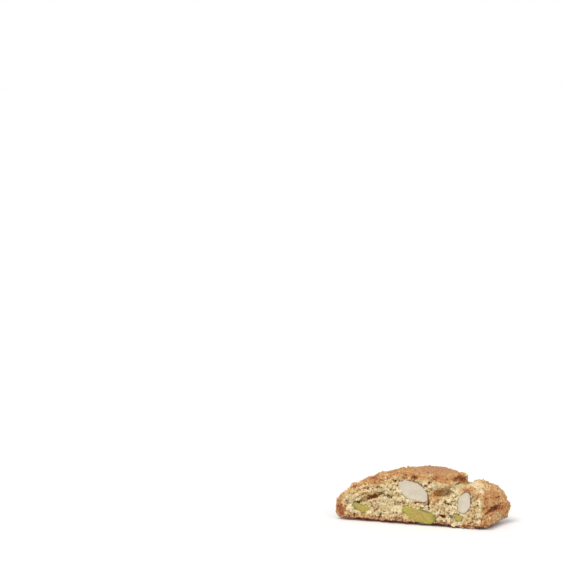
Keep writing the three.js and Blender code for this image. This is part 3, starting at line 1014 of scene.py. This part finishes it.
def clinging_grains(host, chosen, size, spread, seed):
    """Grains that sit on chosen points of a mesh, as one mesh that copies its host's attributes."""
    random = np.random.default_rng(seed)
    places, normals = points_of(host)[chosen], normals_of(host)[chosen]
    sizes = size * random.lognormal(0, spread, len(chosen))
    mesh, sources = strewn(places, normals, sizes, 0.16, random)
    for name in ZONES:
        write_attribute(mesh, name, read_attribute(host, name)[chosen][sources])
    # The grains count as tips, so the finish gives them its painted highlight and no painted shade.
    write_attribute(mesh, "pit", np.full(len(sources), -0.4))
    write_attribute(mesh, "nick", np.zeros(len(sources)))
    return mesh


# Operators


class BISCOTTO_OT_biscuit(bpy.types.Operator):
    """Make the slice of baked dough, with its torn crumb and browned crust"""

    bl_idname = "biscotto.biscuit"
    bl_label = "Baked slice"
    bl_options = {"REGISTER", "UNDO"}

    def execute(self, context):
        settings = context.scene.biscotto_biscuit
        core = even_mesh([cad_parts["biscuit"].data.copy()], settings.voxel)
        points = relaxed(core, points_of(core), 4)
        write_points(core, points)
        baked = baked_surface(points)
        self.roughen(core, points, depth_under(baked, points), settings)
        mesh = even_mesh([core, self.lumps_on(core, baked, settings)], settings.voxel)
        points = relaxed(mesh, points_of(mesh), 1, 0.3)
        write_points(mesh, points)
        normals = relaxed(mesh, normals_of(mesh), 1)
        points = points + normals * fine_relief(points)[:, None]
        points[:, 2] = np.maximum(points[:, 2], 0.0)
        write_points(mesh, points)
        self.write_zones(mesh, points, baked)
        mesh = thinned(mesh, settings.triangles)
        piece = add_piece("baked_slice", mesh, dough_finish(settings, "Dough"), "biscuit", ["biscuit"])
        make_bake_map(piece)
        return {"FINISHED"}

    def roughen(self, core, points, depth, settings):
        """Waves, bumps, pores and splits, as moves along the smooth surface's normals."""
        normals = relaxed(core, normals_of(core), 3)
        normals /= np.linalg.norm(normals, axis=1)[:, None]
        torn = relaxed(core, smoothstep(depth, 0.5, 1.6), 4)
        base = smoothstep(-normals[:, 2], 0.6, 0.9) * smoothstep(points[:, 2], 0.9, 0.3)
        calm = np.clip(region(points, SMOOTH), 0, 0.9)
        crumb = crumb_relief(points, settings) + settings.layer_height * dough_layers(points, depth)
        relief = crumb * torn + crust_relief(points, settings) * (1 - torn)
        relief = relief * (1 - calm) * (1 - base) + base_relief(points) * base
        points = points + normals * relief[:, None]
        from_cut = HALF_THICKNESS - np.abs(points[:, 1])
        across = points[:, 0] - SKEW * points[:, 1]
        curl = smoothstep(from_cut, CURL_REACH[1], CURL_REACH[0])
        curl = np.maximum(curl, smoothstep(across, FOOT[0] + 4, FOOT[0]))
        curl = np.maximum(curl, smoothstep(across, FOOT[1] - 5, FOOT[1]))
        curl *= settings.foot_curl * (1 - region(points, RESTING))
        points[:, 2] += curl * smoothstep(points[:, 2], 1.6, 0.0)
        points[:, 2] = np.maximum(points[:, 2], 0.0)
        write_points(core, points)

    def lumps_on(self, core, baked, settings):
        """Lumps of crumb and crust that overlap the core, to be joined to it."""
        random = np.random.default_rng(settings.seed)
        points, normals = points_of(core), normals_of(core)
        depth = depth_under(baked, points)
        from_cut = HALF_THICKNESS - np.abs(points[:, 1])
        calm = region(points, SMOOTH) + random.uniform(-0.3, 0.3, len(points))
        bare = (calm > 0.45) | (region(points, TOASTED_AND_SHADED) > 0.55)
        bare |= (points[:, 2] < 0.4) | (normals[:, 2] < -0.6)
        bare |= hollowness(core, points, 14, 0.6) > 0.4
        room = room_round_nuts(points)
        on_cut = ~bare & (depth > 0.9) & (from_cut < 3.5) & (room > 0.35)
        on_crust = ~bare & (depth < 1.3) & (room > 0.35)
        chosen, sizes, raised = [], [], []
        for place, count, size, rise in (
            (on_cut, settings.crumb_lumps, settings.crumb_lump, 0.04),
            (on_crust, settings.crust_lumps, settings.crust_lump, -0.22),
        ):
            picked = np.sort(random.choice(np.flatnonzero(place), count, replace=False))
            chosen.append(picked)
            sizes.append(size * random.lognormal(0, 0.4, count))
            raised.append(np.full(count, rise))
        chosen, sizes, raised = (np.concatenate(part) for part in (chosen, sizes, raised))
        sizes = sizes * (1 - 0.35 * np.clip(calm[chosen], 0, 1))
        sizes = np.minimum(sizes, 0.5 + 1.1 * np.minimum(room[chosen], points[chosen, 2]))
        return strewn(points[chosen], normals[chosen], sizes, raised, random)[0]

    def write_zones(self, mesh, points, baked):
        """What the finish needs to know at each point."""
        depth = depth_under(baked, points)
        # The downward faces near the floor are darkened, partly as the browning of the base and partly
        # as a painted contact shadow.
        down = smoothstep(-normals_of(mesh)[:, 2], 0.2, 0.7)
        under = down * smoothstep(points[:, 2], 2.4, 1.4)
        zones = {
            "depth": depth,
            "layer": dough_layers(points, depth),
            "toast": np.maximum(region(points, TOASTED_AND_SHADED), under * 1.4),
            "rosy": region(points, PINKISH),
            "pale": region(points, PALE),
            "sole": smoothstep(points[:, 2], 4.8, 1.6),
            # pit and nick measure hollows at two sizes. The finish paints shade in the hollows and a
            # highlight on the tips.
            "pit": hollowness(mesh, points, 16, 0.55),
            "nick": hollowness(mesh, points, 3, 0.16),
        }
        for name, values in zones.items():
            write_attribute(mesh, name, values)


class BISCOTTO_OT_nuts(bpy.types.Operator):
    """Make the almonds and pistachios that the knife cut, with their skins"""

    bl_idname = "biscotto.nuts"
    bl_label = "Cut nuts"
    bl_options = {"REGISTER", "UNDO"}

    def execute(self, context):
        settings = context.scene.biscotto_nuts
        # Finish and relief of each kind, and how readily its skin is torn away.
        kinds = {
            "almond": (almond_finish(settings), almond_relief, -0.02),
            "pistachio": (pistachio_finish(settings), pistachio_relief, -0.15),
        }
        skins = {"almond": [], "pistachio": []}
        for seed, node in enumerate(sorted(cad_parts)):
            kind = node.split("_")[0]
            if kind not in kinds:
                continue
            material, relief, gaps = kinds[kind]
            add_piece(node + "_kernel", kernel_mesh(node, relief), material, kind, [node])
            skins[kind].append(skin_mesh(node, settings.skin, seed + 30, gaps))
        for kind in kinds:
            shade = tuple(getattr(settings, kind + "_skin"))
            material = skin_finish(kind.capitalize() + " skin", shade)
            add_piece(kind + "_skins", joined(skins[kind]), material, kind)
        return {"FINISHED"}


class BISCOTTO_OT_grains(bpy.types.Operator):
    """Scatter the grains of crumb and crust that cling to the slice"""

    bl_idname = "biscotto.grains"
    bl_label = "Clinging grains"
    bl_options = {"REGISTER", "UNDO"}

    def execute(self, context):
        settings = context.scene.biscotto_crumbs
        host = bpy.data.objects["baked_slice"].data
        random = np.random.default_rng(settings.seed)
        points, depth = points_of(host), read_attribute(host, "depth")
        from_cut = HALF_THICKNESS - np.abs(points[:, 1])
        open_to_air = (read_attribute(host, "pit") < 0.4) & (points[:, 2] > 0.8)
        open_to_air &= (region(points, SMOOTH) < 0.4) & (room_round_nuts(points) > 0.2)
        cut = np.flatnonzero(open_to_air & (depth > 0.8) & (from_cut < 1.6) & (from_cut > 0.3))
        crust = np.flatnonzero(open_to_air & (depth < 0.5) & (from_cut > 0.3))
        for name, place, count, size in (
            ("crumb_grains", cut, settings.crumb_grains, settings.grain_size),
            ("crust_grains", crust, settings.crust_grains, settings.grain_size * 0.9),
        ):
            chosen = np.sort(random.choice(place, count, replace=False))
            mesh = clinging_grains(host, chosen, size, 0.32, settings.seed + count)
            add_piece(name, mesh, bpy.data.materials["Dough"], "biscuit", smooth=False)
        return {"FINISHED"}


class BISCOTTO_OT_bits(bpy.types.Operator):
    """Scatter bits of chopped nut and flakes of skin over the crumb of both cuts"""

    bl_idname = "biscotto.bits"
    bl_label = "Nut bits"
    bl_options = {"REGISTER", "UNDO"}

    def execute(self, context):
        settings = context.scene.biscotto_crumbs
        host = bpy.data.objects["baked_slice"].data
        random = np.random.default_rng(settings.seed + 1)
        points, normals = points_of(host), normals_of(host)
        from_cut = HALF_THICKNESS - np.abs(points[:, 1])
        free = (from_cut < 1.2) & (read_attribute(host, "depth") > 1.5) & (points[:, 2] > 2.0)
        free &= (room_round_nuts(points) > 0.5) & (read_attribute(host, "toast") < 0.3)
        for name, material, slot, count, size, flat in (
            ("almond_bits", "Almond", "almond", settings.almond_bits, 0.7, 0.7),
            ("pistachio_bits", "Pistachio", "pistachio", settings.pistachio_bits, 0.75, 0.8),
            ("skin_flakes", "Pistachio skin", "pistachio", settings.flakes, 0.95, 0.2),
        ):
            chosen = random.choice(np.flatnonzero(free), count, replace=False)
            sizes = size * random.lognormal(0, 0.3, count)
            for number, (kind, spot, spot_size) in enumerate(SEEN_BITS):
                if kind == name:
                    chosen[number] = np.square(points - spot).sum(axis=1).argmin()
                    sizes[number] = spot_size
            mesh, sources = strewn(points[chosen], normals[chosen], sizes, 0.1, random, flat)
            write_attribute(mesh, "edge", np.full(len(sources), 0.4))
            write_attribute(mesh, "face", np.ones(len(sources)))
            add_piece(name, mesh, bpy.data.materials[material], slot, smooth=False)
        return {"FINISHED"}


class BISCOTTO_OT_stage(bpy.types.Operator):
    """Set the pale floor, the soft lights and the camera"""

    bl_idname = "biscotto.stage"
    bl_label = "Stage"
    bl_options = {"REGISTER", "UNDO"}

    def execute(self, context):
        settings = context.scene.biscotto_stage
        self.make_floor(context.scene, settings)
        self.make_lights(context.scene, settings)
        self.make_camera(context.scene)
        context.scene.view_settings.view_transform = "Standard"
        return {"FINISHED"}

    def make_floor(self, scene, settings):
        side = 60.0  # metres
        corners = [(-side, -side, 0), (side, -side, 0), (side, side, 0), (-side, side, 0)]
        mesh = bpy.data.meshes.new("floor")
        mesh.from_pydata(corners, [], [(0, 1, 2, 3)])
        finish = Finish("Floor", Base_Color=(*settings.floor, 1), Roughness=0.9)
        mesh.materials.append(finish.material)
        floor = bpy.data.objects.new("floor", mesh)
        scene.collection.objects.link(floor)

    def make_lights(self, scene, settings):
        world = bpy.data.worlds.new("Sky")
        world.use_nodes = True
        nodes, links = world.node_tree.nodes, world.node_tree.links
        lighting, seen = nodes["Background"], nodes.new("ShaderNodeBackground")
        lighting.inputs["Color"].default_value = seen.inputs["Color"].default_value = (1, 1, 1, 1)
        lighting.inputs["Strength"].default_value = settings.sky
        either = nodes.new("ShaderNodeMixShader")
        links.new(nodes.new("ShaderNodeLightPath").outputs["Is Camera Ray"], either.inputs[0])
        links.new(lighting.outputs[0], either.inputs[1])
        links.new(seen.outputs[0], either.inputs[2])
        links.new(either.outputs[0], nodes["World Output"].inputs["Surface"])
        scene.world = world
        key_spread, fill_spread = math.radians(32), math.radians(90)
        for name, heading, energy, spread in (
            ("key", (0.25, 0.55, -1.0), settings.key, key_spread),
            ("fill", (-0.8, 0.75, -0.55), settings.fill, fill_spread),
        ):
            lamp = bpy.data.lights.new(name, "SUN")
            lamp.energy, lamp.angle = energy, spread
            light = bpy.data.objects.new(name, lamp)
            light.rotation_euler = Vector(heading).to_track_quat("-Z", "Y").to_euler()
            scene.collection.objects.link(light)

    def make_camera(self, scene):
        """The photograph's view. A pixel and the angles of its ray give the camera's place."""
        focal_pixels, middle = 1800.0, IMAGE_SIDE / 2
        aim_pixel, aim_place = (423.0, 497.6), Vector((0.07, 0.0, 10.0)) * MM
        pixels_per_mm = 2.36
        azimuth, elevation = math.radians(13.0), math.radians(13.0)
        ray = Vector((aim_pixel[0] - middle, middle - aim_pixel[1], -focal_pixels))
        distance = ray.length / pixels_per_mm * MM
        ray.normalize()
        level = math.cos(elevation)
        heading = Vector((-math.sin(azimuth) * level, math.cos(azimuth) * level, -math.sin(elevation)))
        pitch = math.acos(heading.z / math.hypot(ray.y, ray.z)) - math.atan2(-ray.z, ray.y)
        tilted = Matrix.Rotation(math.pi / 2 - pitch, 3, "X") @ ray
        turn = math.atan2(heading.y, heading.x) - math.atan2(tilted.y, tilted.x)
        lens = bpy.data.cameras.new("camera")
        lens.sensor_width = 36.0
        lens.lens = focal_pixels / IMAGE_SIDE * lens.sensor_width
        camera = bpy.data.objects.new("camera", lens)
        camera.rotation_euler = (math.pi / 2 - pitch, 0, turn)
        camera.location = aim_place - heading * distance
        scene.collection.objects.link(camera)
        scene.camera = camera


OPERATORS = (
    BISCOTTO_OT_stage,
    BISCOTTO_OT_biscuit,
    BISCOTTO_OT_nuts,
    BISCOTTO_OT_grains,
    BISCOTTO_OT_bits,
)


class BISCOTTO_PT_sidebar(bpy.types.Panel):
    """Lists the settings and a button for each operator"""

    bl_label = "Biscotto"
    bl_idname = "BISCOTTO_PT_sidebar"
    bl_space_type = "VIEW_3D"
    bl_region_type = "UI"
    bl_category = "Biscotto"

    def draw(self, context):
        for name, group in SETTINGS.items():
            box = self.layout.box()
            for key in group.__annotations__:
                box.prop(getattr(context.scene, name), key)
        for operator in OPERATORS:
            self.layout.operator(operator.bl_idname)


def register():
    for name, group in SETTINGS.items():
        bpy.utils.register_class(group)
        setattr(bpy.types.Scene, name, PointerProperty(type=group))
    for item in (*OPERATORS, BISCOTTO_PT_sidebar):
        bpy.utils.register_class(item)


def unregister():
    for item in (BISCOTTO_PT_sidebar, *reversed(OPERATORS)):
        bpy.utils.unregister_class(item)
    for name, group in SETTINGS.items():
        delattr(bpy.types.Scene, name)
        bpy.utils.unregister_class(group)


def main():
    register()
    bpy.ops.biscotto.stage()
    bpy.ops.biscotto.biscuit()
    bpy.ops.biscotto.nuts()
    bpy.ops.biscotto.grains()
    bpy.ops.biscotto.bits()


if __name__ == "__main__":
    main()
